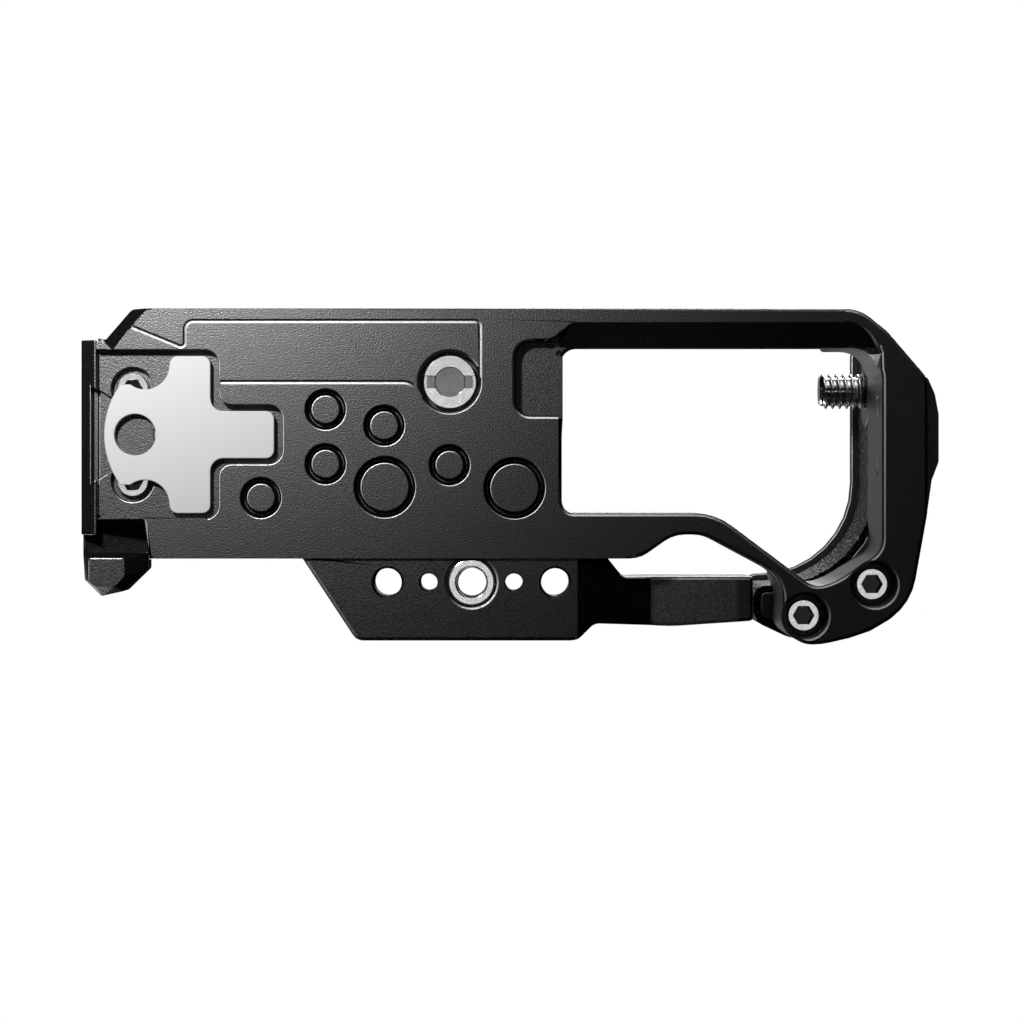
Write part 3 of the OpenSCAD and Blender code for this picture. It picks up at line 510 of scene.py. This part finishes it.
# A socket gets painted shade from a little above its head's face. No face is as high as above_cage, so the
# top screws' sockets get none and stay as light as their heads.
socket_r, socket_painted_shade, above_cage = 0.00168, 0.985, 1
for name, node, centres, face_z, tone in [
    ("left_frame_screws", "upright_screws", left_screws, 0.0032, bright_tone),
    ("grip_socket_screws", "grip_screws", grip_screws, 0.0044, bright_tone),
    ("top_arm_screws", "top_screws", top_screws, above_cage, plain_tone),
]:
    socket = (socket_r, face_z + 0.0001, above_cage, socket_painted_shade)
    steel = turned_steel(name + "_steel", centres, tone, 0.07, polished, socket=socket)
    dress(name, node, 0.00018, steel)


# The small screws of the cap, the side plate and the shoe: turned steel, blackened. Their
# heads sit flush in the faces that they go into.
dark_steel = turned_steel("blackened_steel", [(0, 0, 0)], (0.1, 0.1, 0.11), 0.32)
for name, node in [
    ("cap_screws", "grip_cap_screws"),
    ("side_pad_screws", "side_plate_screws"),
    ("shoe_screws", "cold_shoe_screws"),
]:
    dress(name, node, 0.00008, dark_steel)


# The captive camera screw: a polished head with a coin slot and a round socket, and a
# quarter inch thread that stands above the deck. A snap ring keeps it in the deck.
quarter_pitch, quarter_r, quarter_root_r = 0.00127, 0.003174, 0.0026


def threaded_rod(outer, root, length):
    """A rod along +Z from 0 to length with a real quarter inch thread and a chamfered tip."""
    steps, lead_in, tip_share = 40, 0.0004, 0.86
    turns = int(length / quarter_pitch) + 3
    work = bmesh.new()
    profile = [(root, 0), (root, 0.14), (outer, 0.44), (outer, 0.56), (root, 0.86), (root, 1)]
    points = [work.verts.new((r, 0, share * quarter_pitch)) for r, share in profile]
    line = [work.edges.new(pair) for pair in zip(points, points[1:])]
    bmesh.ops.spin(
        work,
        geom=points + line,
        cent=(0, 0, 0),
        axis=(0, 0, 1),
        dvec=(0, 0, quarter_pitch / steps),
        angle=2 * math.pi * turns,
        steps=steps * turns,
        use_merge=False,
        use_duplicate=False,
    )
    bmesh.ops.remove_doubles(work, verts=work.verts, dist=1e-7)
    bmesh.ops.translate(work, vec=(0, 0, -1.5 * quarter_pitch), verts=work.verts)
    for height, inner in [(0, True), (length - lead_in, False)]:
        bmesh.ops.bisect_plane(
            work,
            geom=work.verts[:] + work.edges[:] + work.faces[:],
            plane_co=(0, 0, height),
            plane_no=(0, 0, 1),
            clear_inner=inner,
            clear_outer=not inner,
        )
    tip = [e for e in work.edges if e.is_boundary and e.verts[0].co.z > length / 2]
    out = bmesh.ops.extrude_edge_only(work, edges=tip)["geom"]
    moved = [v for v in out if isinstance(v, bmesh.types.BMVert)]
    bmesh.ops.scale(work, vec=(tip_share, tip_share, 1), verts=moved)
    bmesh.ops.translate(work, vec=(0, 0, lead_in), verts=moved)
    bmesh.ops.holes_fill(work, edges=[e for e in work.edges if e.is_boundary])
    bmesh.ops.recalc_face_normals(work, faces=work.faces)
    for edge in work.edges:
        edge.smooth = edge.calc_face_angle(0) < math.radians(50)
    for face in work.faces:
        face.smooth = True
    return work


def cut_off(node, width, place, direction):
    """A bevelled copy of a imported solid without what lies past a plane."""
    work = broken_edges(node, width)
    bmesh.ops.bisect_plane(
        work,
        geom=work.verts[:] + work.edges[:] + work.faces[:],
        plane_co=place,
        plane_no=direction,
        clear_outer=True,
    )
    bmesh.ops.holes_fill(work, edges=[e for e in work.edges if e.is_boundary])
    return work


camera_axis = (-0.011272, -0.016237, 0)
head_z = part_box("camera_screw")[0][2]
# Painted shade in the coin slot and socket: darker within 4.1 mm of the axis, above the head's face
camera_socket = (0.0041, head_z + 0.0003, 0.0048, 0.72)
camera_tone = (0.85, 0.86, 0.87)
screw_steel = turned_steel(
    "camera_screw_steel", [camera_axis], camera_tone, 0.07, polished, socket=camera_socket
)
head_top_z, thread_z, thread_l = 0.0101, 0.0099, 0.0046
screw_head = cut_off("camera_screw", 0.00014, (0, 0, head_top_z), (0, 0, 1))
piece("camera_screw_head", screw_head, screw_steel, "screw", ["camera_screw"])
thread = threaded_rod(quarter_r, quarter_root_r, thread_l)
bmesh.ops.translate(thread, vec=(camera_axis[0], camera_axis[1], thread_z), verts=thread.verts)
piece("camera_screw_thread", thread, screw_steel, "screw")
dress("screw_snap_ring", "camera_screw_ring", 0.00006, dark_steel, "screw_ring")


# The side screw: a knurled black knob outside the grip, a neck through its boss, and a
# bright quarter inch stud that shows in the window. A nylon washer drags on the knob.
side_axis = (0, -0.0155, 0.034)
stud_tone = (0.68, 0.69, 0.71)
stud_steel = turned_steel("side_stud_steel", [side_axis], stud_tone, 0.16, polished, axis="x")
knob_black = blasted_black("knob_black_oxide", (0.014, 0.0142, 0.0146), grain_size=0.00015, depth=0.000004)
neck_end_x, stud_x, stud_l = 0.0626, 0.062997, 0.0079
knob = cut_off("side_lock_knob", 0.00012, (neck_end_x, 0, 0), (-1, 0, 0))
piece("side_knob", knob, knob_black, "knob", ["side_lock_knob"])
stud = threaded_rod(quarter_r, quarter_root_r, stud_l)
bmesh.ops.rotate(stud, cent=(0, 0, 0), matrix=Matrix.Rotation(-math.pi / 2, 3, "Y"), verts=stud.verts)
bmesh.ops.translate(stud, vec=(stud_x, side_axis[1], side_axis[2]), verts=stud.verts)
piece("side_stud", stud, stud_steel, "knob")

nylon, bench = finish_bench("natural_nylon")
place = bench.node("ShaderNodeTexCoord").output("Object")
haze = bench.node("ShaderNodeTexNoise", None, {"Vector": place, "Scale": 900.0, "Detail": 3.0})
coat(
    bench,
    {
        "Base Color": haze.tint((0.55, 0.53, 0.46), (0.78, 0.76, 0.7)),
        "Roughness": 0.45 + 0.15 * haze,
        "Normal": bench.node("ShaderNodeBump", None, {"Height": haze, "Distance": 0.00001, "Strength": 1.0}),
    },
)
dress("knob_washer_ring", "side_lock_washer", 0.00008, nylon, "knob_washer")


# The flat key: stamped steel with tumbled edges under a light grey satin coat. It lies in
# the deck's recess over two nickel plated magnets and lifts straight out.
satin, bench = finish_bench("light_grey_satin_coat")
key_grey, key_light, peel_depth = (0.72, 0.72, 0.72), (0.75, 0.75, 0.75), 0.000004
place = bench.node("ShaderNodeTexCoord").output("Object")
peel = bench.node("ShaderNodeTexNoise", None, {"Vector": place, "Scale": 1800.0, "Detail": 2.0})
haze = bench.node("ShaderNodeTexNoise", None, {"Vector": place, "Scale": 60.0, "Detail": 3.0})
bump = bench.node("ShaderNodeBump", None, {"Height": peel, "Distance": peel_depth, "Strength": 1.0})
coat(
    bench,
    {
        "Base Color": (0.4 * peel + 0.6 * haze).tint(key_grey, key_light),
        "Roughness": 0.42 + 0.1 * haze,
        "Normal": bump,
    },
)
dress("lifting_key", "flat_key", 0.00018, satin, "key")

magnets = [(-0.059148, -0.007247, 0), (-0.048048, -0.007247, 0)]
nickel = turned_steel("nickel_plate", magnets, (0.5, 0.5, 0.51), 0.15)
dress("key_magnet_discs", "key_magnets", 0.00015, nickel)


# The tripod insert: a steel bush pressed in the tab, flush with both faces, with a real
# quarter inch thread in its bore.
insert_axis = (-0.007574, 0.018037)
insert_tone = (0.8, 0.81, 0.82)
insert_steel = turned_steel("tripod_insert_steel", [(*insert_axis, 0)], insert_tone, 0.08, polished)
dress("tripod_bush", "tripod_insert", 0.0003, insert_steel)
bore_r, bore_root_r, bore_sunk = 0.00312, 0.00262, 0.0004
low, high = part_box("tripod_insert")
bore = threaded_rod(bore_r, bore_root_r, high[2] - low[2] - 2 * bore_sunk)
caps = [f for f in bore.faces if len(f.verts) > 8]
bmesh.ops.delete(bore, geom=caps, context="FACES")
bmesh.ops.reverse_faces(bore, faces=bore.faces)
bmesh.ops.translate(bore, vec=(*insert_axis, low[2] + bore_sunk), verts=bore.verts)
piece("tripod_bush_thread", bore, insert_steel, "cage")


# The pads: matt black rubber sheet on the deck and under the arm, so that the camera's
# body isn't scratched. Its face has the fine cross ribs of moulded sheet.
rubber, bench = finish_bench("ribbed_rubber_sheet")
place = bench.node("ShaderNodeTexCoord").output("Object")
ribs = bench.node(
    "ShaderNodeTexWave",
    {"wave_type": "BANDS", "bands_direction": "DIAGONAL"},
    {"Vector": place, "Scale": 260.0, "Distortion": 0.4},
    out=1,
)
dust = bench.node("ShaderNodeTexNoise", None, {"Vector": place, "Scale": 1400.0, "Detail": 4.0})
coat(
    bench,
    {
        "Base Color": (0.6 * dust + 0.3 * ribs).tint((0.012, 0.012, 0.0125), (0.05, 0.05, 0.051)),
        "Roughness": 0.75 + 0.15 * dust,
        "Normal": bench.node("ShaderNodeBump", None, {"Height": ribs, "Distance": 0.00008, "Strength": 1.0}),
    },
)
dress("deck_rubber", "deck_pad", 0.0001, rubber)
dress("arm_rubber", "top_pad", 0.0001, rubber)
